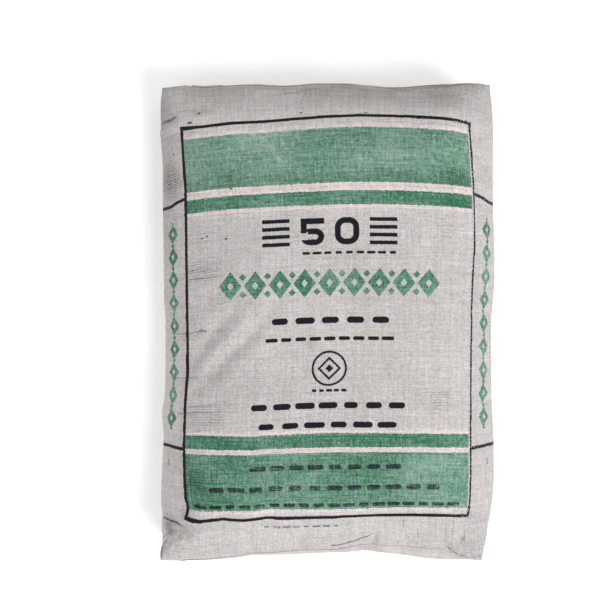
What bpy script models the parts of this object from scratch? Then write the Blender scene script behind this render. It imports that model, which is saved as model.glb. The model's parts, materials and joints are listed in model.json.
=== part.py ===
"""A full 50 kg cement bag: a block-bottom valve sack of woven polypropylene, lying on its back.

Metres, +Z up. The bag lies flat on z = 0 with its printed face up, its length along Y (the top
of the print towards +Y) and its width along X. The origin is on the floor, under the middle.

Pieces
  woven_sack          the tube of coated woven fabric with both ends folded square, open only at
                      the filling slit in its top end wall
  cement_fill         the packed cement powder inside it
  valve_sleeve        the flattened filling sleeve, welded over the slit at the top left corner
  top_cover_patch     the strip of fabric welded over the folded top end
  bottom_cover_patch  the same strip on the bottom end
"""

import math

import bmesh
import bpy
from mathutils import Vector

# ---- driving dimensions, metres -------------------------------------------------------------
LENGTH = 0.5985         # end to end, corner to corner, without the patches
LEFT, LEFT_END = 0.2150, 0.2105    # half width on the left: at the middle, at both ends
RIGHT, RIGHT_TOP, RIGHT_BOTTOM = 0.2185, 0.2060, 0.1945  # on the right: middle, top, bottom
THICKNESS = 0.150       # floor to the top of the full bag
WAIST = 0.046           # height at which the bag is widest
END_LOW = 0.007         # height of the end wall's lower crease off the floor
END_HIGH = 0.100        # height of the end wall's upper crease
EDGE_RADIUS = 0.006     # how tightly the fabric turns over the end creases
TAPER_TOP = 0.135       # length over which the top face falls to the end crease
TAPER_SIDE = 0.105      # length over which the sides reach the end width
TAPER_FLOOR = 0.040     # length over which the underside lifts off the floor
SQUARE_REACH = 0.085    # length over which the section turns from rounded to square
END_BULGE = 0.003       # how far the powder pushes the end walls out
BOTTOM_DENT = 0.0135    # how far the bottom end sits back from its two corners, at its deepest
DENT_AT = 0.047         # where along X it is deepest
DENT_REACH = 0.110      # length over which that dent fades out
ROUND_TOP = 2.4         # superellipse exponent of the section above the waist, mid-length
ROUND_UNDER = 4.4       # the same below it, pressed on the floor
ROUND_END = 9.0         # both at the square ends
PRESS_TOP = 0.0020      # depth of the crown pressed flat on top, where the next bag stacks
PRESS_UNDER = 0.0040    # depth of the belly pressed flat by the floor

FABRIC = 0.0010         # wall of the sack; the real fabric is 0.15 mm
GAP = 0.0003            # clearance between touching pieces
PATCH = 0.0010          # thickness of a cover patch
SLEEVE = 0.0008         # thickness of the flattened valve sleeve
SLEEVE_LIP = 0.0036     # how far the sleeve's mouth stands out at the corner

# Grid lines of the closed form, as fractions of the half width, length and half height.
# The two close columns at -0.80 bound the filling slit.
ACROSS = (-1.0, -0.965, -0.925, -0.87, -0.807, -0.793, -0.66, -0.46, -0.23, 0.0,
          0.23, 0.46, 0.66, 0.80, 0.87, 0.925, 0.965, 1.0)
UP = (-1.0, -0.86, -0.60, -0.30, 0.0, 0.30, 0.60, 0.86, 1.0)
FROM_END = (0.012, 0.021, 0.034, 0.052, 0.075, 0.104, 0.142, 0.190, 0.245)  # stations behind the rounded edge

SLIT_COLUMN = 4         # the column of the end grid that the filling slit takes
SLIT_ROWS = (1, 7)      # and its rows, bottom and top


def fade(distance, reach):
    """1 at an end of the bag, falling to 0 at reach from it."""
    return max(0.0, 1.0 - distance / reach)


def stations():
    """Distances from an end, from 0 on the end wall, round its edge, to the middle."""
    rounded = [EDGE_RADIUS * (1 - math.cos(math.radians(a))) for a in (0, 35, 65, 90)]
    return rounded + list(FROM_END)


def length_lines():
    """Signed y of each ring of the form, from the bottom end to the top end."""
    near = [d for d in stations()]
    ends = [-(LENGTH / 2 - d) for d in near]
    return ends + [0.0] + [-y for y in reversed(ends)]


def surface(a, y, c, on_end):
    """A point of the full bag. a and c run over the square section, -1 to 1; y is the ring."""
    from_end = LENGTH / 2 - abs(y)
    top = THICKNESS + PRESS_TOP - (THICKNESS + PRESS_TOP - END_HIGH) * fade(from_end, TAPER_TOP) ** 2
    under = -PRESS_UNDER + (END_LOW + PRESS_UNDER) * fade(from_end, TAPER_FLOOR) ** 2
    if a < 0:
        half = LEFT + (LEFT_END - LEFT) * fade(from_end, TAPER_SIDE) ** 2
    elif y > 0:
        half = RIGHT + (RIGHT_TOP - RIGHT) * fade(from_end, TAPER_SIDE) ** 2
    else:
        half = RIGHT + (RIGHT_BOTTOM - RIGHT) * fade(from_end, TAPER_SIDE) ** 1.5
    square = fade(from_end, SQUARE_REACH) ** 2
    inset = 0.0
    if from_end < EDGE_RADIUS:
        inset = EDGE_RADIUS - math.sqrt(EDGE_RADIUS ** 2 - (EDGE_RADIUS - from_end) ** 2)
    n = (ROUND_TOP if c > 0 else ROUND_UNDER)
    n += (ROUND_END - n) * square
    tall = (top - WAIST if c > 0 else WAIST - under) - inset
    wide = half - inset
    m = max(abs(a), abs(c))
    r = ((abs(a) / m) ** n + (abs(c) / m) ** n) ** (-1.0 / n) if m > 0 else 1.0
    x, z = wide * a * r, WAIST + tall * c * r
    z = min(max(z, 0.0), THICKNESS)
    out = 0.0
    if on_end:
        out = END_BULGE * (1 - a * a) * (1 - c * c)
    if y < 0:
        side = DENT_AT + LEFT_END if x < DENT_AT else RIGHT_BOTTOM - DENT_AT
        dent = BOTTOM_DENT * (1 - min(1.0, abs(x - DENT_AT) / side) ** 1.3)
        return Vector((x, y - out + dent * fade(from_end, DENT_REACH) ** 2, z))
    return Vector((x, y + out, z))


class Form:
    """The bag's closed surface as a box-like grid: its points, and the quads between them."""

    def __init__(self):
        self.rings = length_lines()
        self.last = (len(ACROSS) - 1, len(self.rings) - 1, len(UP) - 1)
        self.index, self.points = {}, []
        self.quads = []
        self.normals = None
        self._fill()

    def point(self, i, j, k):
        key = (i, j, k)
        if key not in self.index:
            self.index[key] = len(self.points)
            on_end = j in (0, self.last[1])
            self.points.append(surface(ACROSS[i], self.rings[j], UP[k], on_end))
        return self.index[key]

    def _fill(self):
        ni, nj, nk = self.last
        for i in range(ni):
            for j in range(nj):
                self._quad("under", (i, j), [(i, j, 0), (i, j + 1, 0), (i + 1, j + 1, 0), (i + 1, j, 0)])
                self._quad("top", (i, j), [(i, j, nk), (i + 1, j, nk), (i + 1, j + 1, nk), (i, j + 1, nk)])
        for j in range(nj):
            for k in range(nk):
                self._quad("left", (j, k), [(0, j, k), (0, j, k + 1), (0, j + 1, k + 1), (0, j + 1, k)])
                self._quad("right", (j, k), [(ni, j, k), (ni, j + 1, k), (ni, j + 1, k + 1), (ni, j, k + 1)])
        for i in range(ni):
            for k in range(nk):
                self._quad("bottom_end", (i, k), [(i, 0, k), (i + 1, 0, k), (i + 1, 0, k + 1), (i, 0, k + 1)])
                self._quad("top_end", (i, k), [(i, nj, k), (i, nj, k + 1), (i + 1, nj, k + 1), (i + 1, nj, k)])

    def _quad(self, side, cell, corners):
        self.quads.append((side, cell, [self.point(*c) for c in corners]))

    def split(self, quad):
        """The quad as two triangles along its shorter diagonal, the same at every depth."""
        a, b, c, d = (self.points[v] for v in quad)
        p, q, r, s = range(4)
        return ((p, q, r), (p, r, s)) if (a - c).length <= (b - d).length else ((p, q, s), (q, r, s))

    def triangles(self):
        return [[q[n] for n in t] for _, _, q in self.quads for t in self.split(q)]

    def inset(self, depth):
        """The points moved inwards by depth, square to the surface."""
        if self.normals is None:
            bm = bmesh.new()
            verts = [bm.verts.new(p) for p in self.points]
            for _, _, q in self.quads:
                bm.faces.new([verts[v] for v in q])
            bm.normal_update()
            self.normals = [v.normal.copy() for v in verts]
            bm.free()
        return [p - n * depth for p, n in zip(self.points, self.normals)]


def material(name, colour, roughness):
    m = bpy.data.materials.new(name)
    m.use_nodes = True
    shader = m.node_tree.nodes["Principled BSDF"]
    shader.inputs["Base Color"].default_value = (*colour, 1.0)
    shader.inputs["Roughness"].default_value = roughness
    shader.inputs["Metallic"].default_value = 0.0
    return m


def piece(name, points, faces, mat, bag, centre):
    mesh = bpy.data.meshes.new(name)
    mesh.from_pydata([(p.x - centre[0], p.y - centre[1], p.z) for p in points], [], faces)
    mesh.validate()
    mesh.materials.append(mat)
    mesh.shade_smooth()
    mesh.set_sharp_from_angle(angle=math.radians(40))
    obj = bpy.data.objects.new(name, mesh)
    bpy.context.scene.collection.objects.link(obj)
    obj.parent = bag
    return obj


def sack_mesh(form):
    """Outer and inner skins of the sack, joined only round the filling slit."""
    inner = form.inset(FABRIC)
    count = len(form.points)
    points = list(form.points) + inner
    faces, rim = [], {}
    for side, (i, k), q in form.quads:
        slit = side == "top_end" and i == SLIT_COLUMN and SLIT_ROWS[0] <= k < SLIT_ROWS[1]
        if not slit:
            for t in form.split(q):
                faces.append([q[n] for n in t])
                faces.append([q[n] + count for n in reversed(t)])
            continue
        for a, b in zip(q, q[1:] + q[:1]):
            if (b, a) in rim:
                del rim[(b, a)]
            else:
                rim[(a, b)] = True
    for a, b in rim:
        faces.append([a, b, b + count, a + count])
    return points, faces


def strip_mesh(form, end, columns, rows, low, thick):
    """A strip of fabric lying on an end wall: the wall's own grid, lifted by low(i), thick deep."""
    ring = 0 if end == "bottom_end" else form.last[1]
    sign = -1.0 if end == "bottom_end" else 1.0
    across = range(columns[0], columns[1] + 1)
    up = range(rows[0], rows[1] + 1)
    layers, points = [], []
    for lift in (0.0, thick):
        grid = {}
        for i in across:
            for k in up:
                p = form.points[form.point(i, ring, k)]
                grid[i, k] = len(points)
                points.append(Vector((p.x, p.y + sign * (low(i) + lift), p.z)))
        layers.append(grid)
    base, top = layers
    faces = []

    def face(corners, flip=False):
        flip = flip != (sign < 0)
        faces.append(list(reversed(corners)) if flip else corners)

    for i in list(across)[:-1]:
        for k in list(up)[:-1]:
            cell = [(i, k), (i, k + 1), (i + 1, k + 1), (i + 1, k)]
            for t in form.split([form.point(c[0], ring, c[1]) for c in cell]):
                face([top[cell[n]] for n in t])
                face([base[cell[n]] for n in t], flip=True)
    for i in list(across)[:-1]:
        face([base[i, up[0]], top[i, up[0]], top[i + 1, up[0]], base[i + 1, up[0]]])
        face([base[i, up[-1]], base[i + 1, up[-1]], top[i + 1, up[-1]], top[i, up[-1]]])
    for k in list(up)[:-1]:
        face([base[across[0], k], base[across[0], k + 1], top[across[0], k + 1], top[across[0], k]])
        face([base[across[-1], k], top[across[-1], k], top[across[-1], k + 1], base[across[-1], k + 1]])
    return points, faces


def main():
    for obj in list(bpy.data.objects):
        bpy.data.objects.remove(obj, do_unlink=True)
    bag = bpy.data.objects.new("bag", None)
    bpy.context.scene.collection.objects.link(bag)

    fabric = material("woven_fabric", (0.56, 0.53, 0.52), 0.62)
    patch = material("patch_fabric", (0.60, 0.57, 0.56), 0.58)
    sleeve = material("sleeve_fabric", (0.62, 0.60, 0.58), 0.55)
    powder = material("cement_powder", (0.27, 0.27, 0.26), 0.95)

    form = Form()
    parts = [("woven_sack", *sack_mesh(form), fabric),
             ("cement_fill", form.inset(FABRIC + 1.6 * GAP), form.triangles(), powder)]

    # The sleeve lies over the slit, from the corner of the end wall inwards; its mouth stands
    # proud like a lip. The top cover patch starts beyond the mouth and laps over the sleeve.
    lip = {1: 0.3, 2: 1.0, 3: 0.25}

    def under_sleeve(i):
        return GAP + SLEEVE_LIP * lip.get(i, 0.0)

    def under_patch(i):
        return under_sleeve(i) + SLEEVE + GAP if i <= 7 else GAP

    parts.append(("valve_sleeve", *strip_mesh(form, "top_end", (1, 6), (1, 7), under_sleeve, SLEEVE),
                  sleeve))
    parts.append(("top_cover_patch", *strip_mesh(form, "top_end", (3, 15), (1, 7), under_patch, PATCH),
                  patch))
    parts.append(("bottom_cover_patch", *strip_mesh(form, "bottom_end", (2, 14), (1, 7),
                                                    lambda i: GAP, PATCH), patch))

    every = [p for part in parts for p in part[1]]
    centre = [(min(p[n] for p in every) + max(p[n] for p in every)) / 2 for n in (0, 1)]
    for name, points, faces, mat in parts:
        piece(name, points, faces, mat, bag, centre)


main()
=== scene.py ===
"""A full cement bag lying flat on a pale floor, seen from straight above.

The sack is a tube of woven plastic fabric with both ends folded square. It is simulated here: a
flat box of fabric of the real cut size is filled with its volume of powder under gravity, between
the floor and a board, and settles with its own wrinkles. The cover patches, the valve sleeve and
the powder inside are then made from the settled shape. The print is set in the fabric's own
coordinates and drawn by the shader.
"""
import json
import math

import bpy
import numpy as np
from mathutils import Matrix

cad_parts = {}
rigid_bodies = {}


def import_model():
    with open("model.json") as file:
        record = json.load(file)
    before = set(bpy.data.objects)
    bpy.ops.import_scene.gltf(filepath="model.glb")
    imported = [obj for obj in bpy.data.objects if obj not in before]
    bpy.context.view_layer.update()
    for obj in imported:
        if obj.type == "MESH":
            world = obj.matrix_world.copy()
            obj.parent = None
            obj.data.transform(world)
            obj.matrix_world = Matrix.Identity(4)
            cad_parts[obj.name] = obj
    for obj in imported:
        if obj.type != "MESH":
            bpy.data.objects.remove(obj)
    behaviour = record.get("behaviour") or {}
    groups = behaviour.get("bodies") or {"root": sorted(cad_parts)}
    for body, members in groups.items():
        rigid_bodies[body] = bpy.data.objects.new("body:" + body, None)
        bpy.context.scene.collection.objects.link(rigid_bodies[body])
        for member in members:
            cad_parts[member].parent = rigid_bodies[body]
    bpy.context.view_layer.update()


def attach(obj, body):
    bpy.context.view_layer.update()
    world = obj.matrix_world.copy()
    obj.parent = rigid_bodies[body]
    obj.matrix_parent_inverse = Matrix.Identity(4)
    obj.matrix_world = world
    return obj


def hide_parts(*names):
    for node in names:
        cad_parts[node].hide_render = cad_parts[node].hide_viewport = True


for o in list(bpy.data.objects):
    bpy.data.objects.remove(o, do_unlink=True)
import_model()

F = np.float32

# ---- the view: straight down from CAM_H above the floor, SCALE px for a slope of 1 ----------
CAM_H, CAM_Y, SCALE = 1.45, -0.0382, 1068.4
FOOT_X, FOOT_Y = 328.0, 350.0        # where the camera's foot lies in a 600 x 600 image


def seen(P):
    """Image place of points, px."""
    k = SCALE / (CAM_H - P[..., 2])
    return FOOT_X + P[..., 0] * k, FOOT_Y - (P[..., 1] - CAM_Y) * k


# =============================================================================================
# The cloth
# =============================================================================================
WIDTH, LENGTH, DEPTH = 0.4165, 0.608, 0.0945     # flat sizes of the squared tube, metres
VOLUME, DENSITY = 0.0329, 0.25
CELLS = 30, 46, 7


class Grid:
    """Quads over a box: nx * ny * nz cells, one vertex where two sides share an edge."""

    def __init__(s, nx, ny, nz, W, L, H):
        s.n = (nx, ny, nz)
        s.size = (W, L, H)
        I = np.full((nx + 1, ny + 1, nz + 1), -1, dtype=np.int64)
        surf = np.zeros_like(I, dtype=bool)
        surf[0] = surf[-1] = True
        surf[:, 0] = surf[:, -1] = True
        surf[:, :, 0] = surf[:, :, -1] = True
        I[surf] = np.arange(surf.sum())
        s.I = I
        s.N = int(surf.sum())
        s.ijk = np.argwhere(surf)
        s.rest = np.stack([-W / 2 + W * s.ijk[:, 0] / nx, -L / 2 + L * s.ijk[:, 1] / ny, H * s.ijk[:, 2] / nz], 1)
        q = []

        def side(A, flip):
            a, b, c, d = A[:-1, :-1], A[1:, :-1], A[1:, 1:], A[:-1, 1:]
            Q = np.stack([a, b, c, d], -1).reshape(-1, 4)
            q.append(Q[:, ::-1] if flip else Q)

        side(I[:, :, 0], True)       # under
        side(I[:, :, -1], False)     # top
        side(I[0, :, :], True)       # left
        side(I[-1, :, :], False)     # right
        side(I[:, 0, :], False)      # bottom end
        side(I[:, -1, :], True)      # top end
        s.quads = np.concatenate(q)
        s.sizes = [len(a) for a in q]
        e = np.concatenate([s.quads[:, [0, 1]], s.quads[:, [1, 2]], s.quads[:, [2, 3]], s.quads[:, [3, 0]]])
        e.sort(1)
        e = np.unique(e, axis=0)
        shear = np.concatenate([s.quads[:, [0, 2]], s.quads[:, [1, 3]]])
        b = []

        def line(A):
            b.append(np.stack([A[:-2].ravel(), A[2:].ravel()], 1))

        loop = np.concatenate([I[:-1, :, 0], I[-1, :, :-1].T, I[:0:-1, :, -1], I[0, :, :0:-1].T], 0)
        s.loop = np.concatenate([loop, loop[:2]], 0)
        line(s.loop)
        for A in (I[:, :, 0].T, I[:, :, -1].T, I[0].copy(), I[-1].copy()):
            line(A)
        for A in (I[:, 0, :], I[:, -1, :]):
            line(A)
            line(A.T)
        b = np.unique(np.sort(np.concatenate(b), 1), axis=0)
        step = np.array([W / nx, L / ny, H / nz])

        def lengths(e):
            return np.abs(s.ijk[e[:, 1]] - s.ijk[e[:, 0]]) * step

        s.sets = {"e": (e, np.linalg.norm(lengths(e), axis=1)),
                  "s": (shear, np.linalg.norm(lengths(shear), axis=1)),
                  "b": (b, lengths(b).sum(1))}

    def colour(s, kinds):
        """The constraints in groups that share no vertex."""
        A = np.concatenate([s.sets[k][0] for k in kinds])
        R = np.concatenate([s.sets[k][1] for k in kinds])
        T = np.concatenate([np.full(len(s.sets[k][0]), i) for i, k in enumerate(kinds)])
        used = [0] * s.N
        col = np.empty(len(A), dtype=np.int8)
        for n, (a, b) in enumerate(A.tolist()):
            m = used[a] | used[b]
            c = (~m) & (m + 1)
            used[a] |= c
            used[b] |= c
            col[n] = c.bit_length() - 1
        return [(A[k, 0].copy(), A[k, 1].copy(), R[k].astype(F), T[k])
                for k in (np.nonzero(col == c)[0] for c in range(col.max() + 1))]


def finer(coarse, X, fine):
    """X carried to a grid of twice the cells each way."""
    I, J = coarse.I, fine.I
    Y = np.zeros((fine.N, 3), F)

    def up(A):
        B = np.zeros((2 * A.shape[0] - 1, 2 * A.shape[1] - 1, 3), F)
        B[::2, ::2] = A
        B[1::2, ::2] = (A[:-1] + A[1:]) / 2
        B[:, 1::2] = (B[:, :-2:2] + B[:, 2::2]) / 2
        return B

    for a, b in ((I[:, :, 0], J[:, :, 0]), (I[:, :, -1], J[:, :, -1]), (I[0], J[0]), (I[-1], J[-1]),
                 (I[:, 0], J[:, 0]), (I[:, -1], J[:, -1])):
        Y[b] = up(X[a])
    return Y


def area_normals(g, X):
    q = g.quads
    return 0.5 * np.cross(X[q[:, 2]] - X[q[:, 0]], X[q[:, 3]] - X[q[:, 1]])


def vert_sum(g, A):
    out = np.empty((g.N, 3), F)
    idx = g.quads.ravel()
    for c in range(3):
        out[:, c] = np.bincount(idx, weights=np.repeat(A[:, c] * 0.25, 4), minlength=g.N)
    return out


def enclosed(g, X, A):
    return float((X[g.quads].mean(1) * A).sum() / 3)


def tethers(g, n):
    """Pairs n cells apart along the threads, with the length of fabric between them."""
    I = g.I
    W, L, H = g.size
    hx, hy, hz = W / g.n[0], L / g.n[1], H / g.n[2]
    out, ln = [], []
    loop = g.loop[:-2]
    seg = np.concatenate([np.full(g.n[0], hx), np.full(g.n[2], hz), np.full(g.n[0], hx), np.full(g.n[2], hz)])
    cum = np.concatenate([[0], np.cumsum(seg)])
    m = len(loop)
    i = np.arange(m)
    j = (i + n) % m
    d = cum[j] - cum[i]
    d[d < 0] += cum[-1]
    out.append(np.stack([loop[i].ravel(), loop[j].ravel()], 1))
    ln.append(np.repeat(d, loop.shape[1]))
    for A, h in ((I[:, :, 0].T, hy), (I[:, :, -1].T, hy), (I[0], hy), (I[-1], hy)):
        if A.shape[0] > n:
            out.append(np.stack([A[:-n].ravel(), A[n:].ravel()], 1))
            ln.append(np.full(A[:-n].size, n * h))
    for A in (I[:, 0, :], I[:, -1, :]):
        out.append(np.stack([A[:-n].ravel(), A[n:].ravel()], 1))
        ln.append(np.full(A[:-n].size, n * hx))
        B = A.T
        if B.shape[0] > n:
            out.append(np.stack([B[:-n].ravel(), B[n:].ravel()], 1))
            ln.append(np.full(B[:-n].size, n * hz))
    return np.concatenate(out), np.concatenate(ln)


def settle(g, X, steps, V0, push, far=(), rho=DENSITY, ztop=0.1495, damp=0.9, bulge=0.004, drag=0.3):
    """Fills the sack to V0 under gravity. Fabric hardly stretches and hardly resists buckling."""
    kinds = ["e", "s", "b"]
    kt, kc = [1, 0.4, 0.03], [0.5, 0.15, 0.02]
    for n in far:
        g.sets["t%d" % n] = tethers(g, n)
        kinds.append("t%d" % n)
        kt.append(1.0)
        kc.append(0.0)
    kt, kc = np.array(kt, F), np.array(kc, F)
    groups = [(a, b, r, kt[t], kc[t]) for a, b, r, t in g.colour(kinds)]
    move = np.zeros_like(X)
    cell = g.size[0] * g.size[1] / (g.n[0] * g.n[1])
    e0, e1 = g.I[:, 0, :].ravel(), g.I[:, -1, :].ravel()
    rim0 = np.concatenate([g.I[:, 0, 0], g.I[:, 0, -1]])
    rim1 = np.concatenate([g.I[:, -1, 0], g.I[:, -1, -1]])
    for it in range(steps):
        A = area_normals(g, X)
        V = enclosed(g, X, A)
        N = vert_sum(g, A) / cell
        zt = X[:, 2].max()
        c = min(1.0, max(-0.3, (V0 - V) / V0 * 60))
        P = push[0] * (push[1] / push[0]) ** (it / max(1, steps - 1))
        f = (c + rho * max(c, 0.3) * (zt - X[:, 2]) / 0.15)[:, None] * N * P
        move = move * damp + f.astype(F)
        move[:, 2] -= P * 0.3
        old = X
        X = X + move
        for a, b, r, ka, kb in groups:
            d = X[b] - X[a]
            l = np.sqrt(np.einsum("ij,ij->i", d, d)) + 1e-9
            q = (l - r) / l
            q *= np.where(q > 0, ka, kb) * 0.5
            d *= q[:, None]
            X[a] += d
            X[b] -= d
        np.clip(X[:, 2], 0, ztop, out=X[:, 2])
        X[e0, 1] = np.maximum(X[e0, 1], X[rim0, 1].mean() - bulge)
        X[e1, 1] = np.minimum(X[e1, 1], X[rim1, 1].mean() + bulge)
        touch = X[:, 2] <= 1e-5
        X[touch, :2] = old[touch, :2] + (X[touch, :2] - old[touch, :2]) * drag
        move = X - old
    return X


def simulate():
    rng = np.random.default_rng(5)
    g = Grid(*CELLS, WIDTH, LENGTH, DEPTH)
    X = g.rest.astype(F) + rng.normal(0, 0.0008, (g.N, 3)).astype(F)
    X[:, 2] += 0.001
    X = settle(g, X, 900, VOLUME, (1e-4, 2e-6), far=(2, 4, 7))
    for times, steps, push, far, noise in ((2, 200, (4e-6, 1e-6), (2, 4, 8, 14), 0.0003),
                                           (4, 60, (1e-6, 4e-7), (4, 8, 16), 0.0001)):
        h = Grid(*(c * times for c in CELLS), WIDTH, LENGTH, DEPTH)
        X = finer(g, X, h) + rng.normal(0, noise, (h.N, 3)).astype(F)
        if not (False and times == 4):
            X = settle(h, X, steps, VOLUME, push, far=far)
        g = h
    return g, X.astype(float)


g, X = simulate()
nx, ny, nz = g.n
I = g.I
LOOP = g.loop[:-2]                       # vertices round the tube, by distance along it
FRONT = I[:, :, -1]


def ramp(lo, hi, x):
    t = np.clip((x - lo) / (hi - lo), 0, 1)
    return t * t * (3 - 2 * t)


def blur(a, sigma):
    """Smooths a list of numbers, ends held."""
    n = int(sigma * 3) + 1
    k = np.exp(-0.5 * (np.arange(-n, n + 1) / sigma) ** 2)
    return np.convolve(np.pad(a, n, "edge"), k / k.sum(), "valid")


def neighbour_mean(g, A):
    e = g.sets["e"][0]
    total = np.bincount(e[:, 0], A[e[:, 1]], g.N) + np.bincount(e[:, 1], A[e[:, 0]], g.N)
    return total / np.bincount(e.ravel(), minlength=g.N)


# The fabric lies evenly where it is pressed: under the board, on the floor, and on the stiff ends.
pressed = ramp(0.1440, 0.1490, X[:, 2])
floor_part = 1 - ramp(0.001, 0.006, X[:, 2])
for _ in range(60):
    X[:, 2] += np.maximum(pressed, floor_part) * 0.6 * (neighbour_mean(g, X[:, 2]) - X[:, 2])
wall = np.zeros(g.N)
wall[I[1:-1, 0, 1:-1]] = 0.7
wall[I[1:-1, -1, 1:-1]] = 0.7
for _ in range(30):
    X[:, 1] += wall * (neighbour_mean(g, X[:, 1]) - X[:, 1])

# The powder stands behind the folded ends: they belly a little, unevenly.
along = np.arange(nx + 1) / nx
for end, sign, phase in ((0, -1, 0.6), (-1, 1, 2.9)):
    for k in range(1, nz):
        lobe = math.sin(math.pi * k / nz) ** 1.6 * ramp(0.0, 0.12, np.minimum(along, 1 - along))
        lobe *= 1 + 0.30 * np.sin(along * 15 + phase + k * 0.07) + 0.22 * np.sin(along * 37 + 2 * phase - k * 0.12)
        X[I[:, end, k], 1] += sign * (0.0030 if end else 0.0024 + 0.0018 * ramp(0.45, 0.6, along)) * lobe

# ---- the outline as seen: image rows against the left and right edge, columns against the ends --
ROWS = (92, 100, 132, 164, 204, 252, 284, 300, 316, 332, 364, 396, 412, 436, 476, 492, 508, 524, 540, 556)
LEFT = (162, 160.7, 160.4, 162.7, 162.8, 163.6, 163.8, 163.8, 165.5, 165.4, 165.6, 164.8, 161.8, 163.8, 161.7, 161, 161.7, 161.5, 162, 160.5)
RIGHT = (490, 491.6, 493.4, 493, 493, 494.5, 494.5, 493, 491.5, 491, 491.5, 491.5, 492.3, 493.6, 494, 493, 491.2, 488.2, 486.2, 482)
COLUMNS = (160, 164, 180, 188, 204, 236, 252, 284, 316, 348, 364, 388, 404, 428, 452, 468, 480, 490)
TOP = (87.5, 87.8, 86.3, 87, 88.5, 86.2, 85, 87, 84.5, 84.7, 86, 88.4, 88, 86.3, 85.2, 84.2, 83.6, 85.3)
BOTTOM = (560, 560, 560, 559, 559, 556.5, 554, 553.3, 551.7, 550.7, 549, 551.7, 553.6, 557, 558.3, 559.3, 560, 560)

for attempt in range(3):
    u, v = seen(X)
    scale = np.ones((2, ny + 1))
    for j in range(ny + 1):
        ring = LOOP[:, j]
        for n, (pick, edge) in enumerate(((np.argmin, LEFT), (np.argmax, RIGHT))):
            w = ring[pick(u[ring])]
            scale[n, j] = (np.interp(v[w], ROWS, edge) - FOOT_X) / (u[w] - FOOT_X)
    scale = np.array([blur(s, 2.0) for s in scale])
    side = ramp(-0.15, 0.15, X[:, 0])
    j = g.ijk[:, 1]
    X[:, 0] *= scale[0, j] * (1 - side) + scale[1, j] * side
    u, v = seen(X)
    for end, edge, pick in ((-1, TOP, np.argmin), (0, BOTTOM, np.argmax)):
        shift = np.zeros(nx + 1)
        for i in range(nx + 1):
            column = I[i, end, :]
            w = column[pick(v[column])]
            shift[i] = (v[w] - np.interp(u[w], COLUMNS, edge)) * (CAM_H - X[w, 2]) / SCALE
        shift = blur(shift, 1.2)
        far = np.abs(g.ijk[:, 1] - (ny if end else 0)) * LENGTH / ny
        upright = 0.3 + 0.7 * ramp(0.0, 0.085, X[:, 2])
        X[:, 1] += shift[g.ijk[:, 0]] * np.clip(1 - far / 0.11, 0, 1) ** 2 * upright
    if not attempt:          # the bottom end has slumped out under its fold, right of the middle
        slump = 0.42 * ramp(0.010, 0.060, X[:, 0]) + 0.40 * ramp(0.080, 0.135, X[:, 0])
        slump *= (1 - 0.55 * ramp(0.145, 0.168, X[:, 0])) * (1 - ramp(0.180, 0.198, X[:, 0]))
        height = X[:, 2] / 0.10
        far = g.ijk[:, 1] * LENGTH / ny
        X[:, 1] += slump * np.where(g.ijk[:, 1] == 0, 0.0078 - 0.0185 * np.sin(np.pi * np.clip(height, 0, 1)) ** 0.8,
                                    0.0078 * np.clip(1 - far / 0.05, 0, 1) ** 2 * ramp(0.03, 0.09, X[:, 2]))


def normals(g, X):
    N = vert_sum(g, area_normals(g, X)).astype(float)
    return N / (np.linalg.norm(N, axis=1, keepdims=True) + 1e-12)


# ---- folds of the front, in image places: (points), half width px, height mm ---------------
FOLDS = (
    (((186, 372), (203, 345), (219, 325), (240, 301)), 6.2, -4.6),
    (((191, 382), (226, 340), (254, 309)), 5.0, 3.0),
    (((196, 391), (228, 355), (251, 335), (280, 297)), 6.2, -4.0),
    (((204, 402), (240, 366), (268, 338)), 7.0, 2.4),
    (((262, 412), (300, 352)), 9.0, -0.9),
    (((190, 318), (232, 276)), 7.0, -1.8),
    (((157, 129), (168, 121), (182, 113)), 3.2, -3.2),
    (((158, 137), (170, 129), (180, 124)), 3.4, 1.6),
    (((163, 284), (190, 280), (222, 276)), 3.0, -1.0),
    (((166, 275), (196, 270), (216, 265)), 3.4, -0.9),
    (((166, 335), (190, 334), (203, 331), (232, 329)), 3.0, -1.2),
    (((163, 379), (200, 377), (222, 375)), 3.0, -1.1),
    (((158, 290), (172, 288)), 3.0, -2.6),
    (((160, 413), (206, 412)), 3.0, -1.2),
    (((166, 408), (228, 403)), 3.0, -0.9),
    (((371, 547), (373, 542), (378, 532)), 3.4, -4.2),
    (((366, 540), (371, 533)), 3.4, 1.4),
    (((158, 512), (170, 518), (180, 526), (190, 532)), 4.2, -5.2),
    (((162, 505), (176, 511), (186, 518)), 3.8, 3.2),
    (((158, 541), (170, 532), (184, 530)), 4.0, -4.2),
    (((160, 556), (172, 545), (190, 540)), 5.0, 2.8),
    (((422, 546), (418, 522)), 3.0, -1.2),
    (((446, 548), (440, 520)), 3.4, -1.3),
    (((462, 553), (461, 532)), 3.6, -2.6),
    (((471, 553), (472, 532)), 3.4, 1.2),
    (((406, 545), (403, 521)), 3.0, -1.1),
    (((388, 544), (385, 524)), 3.0, -0.9),
    (((300, 546), (303, 528)), 3.2, -1.1),
    (((250, 548), (246, 530)), 3.4, -1.2),
    (((212, 552), (214, 534)), 3.4, -1.0),
    (((251, 84), (252, 97)), 3.0, -1.5),
    (((299, 86), (298, 112)), 3.2, -0.9),
    (((362, 86), (366, 100)), 4.0, -1.2),
    (((405, 88), (401, 104)), 3.6, -1.1),
    (((452, 84), (446, 104)), 4.0, -1.3),
    (((487, 100), (478, 112)), 4.0, -1.6),
    (((493, 176), (480, 180)), 3.4, -1.2),
    (((494, 284), (480, 290)), 3.4, -1.4),
    (((492, 398), (480, 402)), 3.4, -1.2),
)


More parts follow.
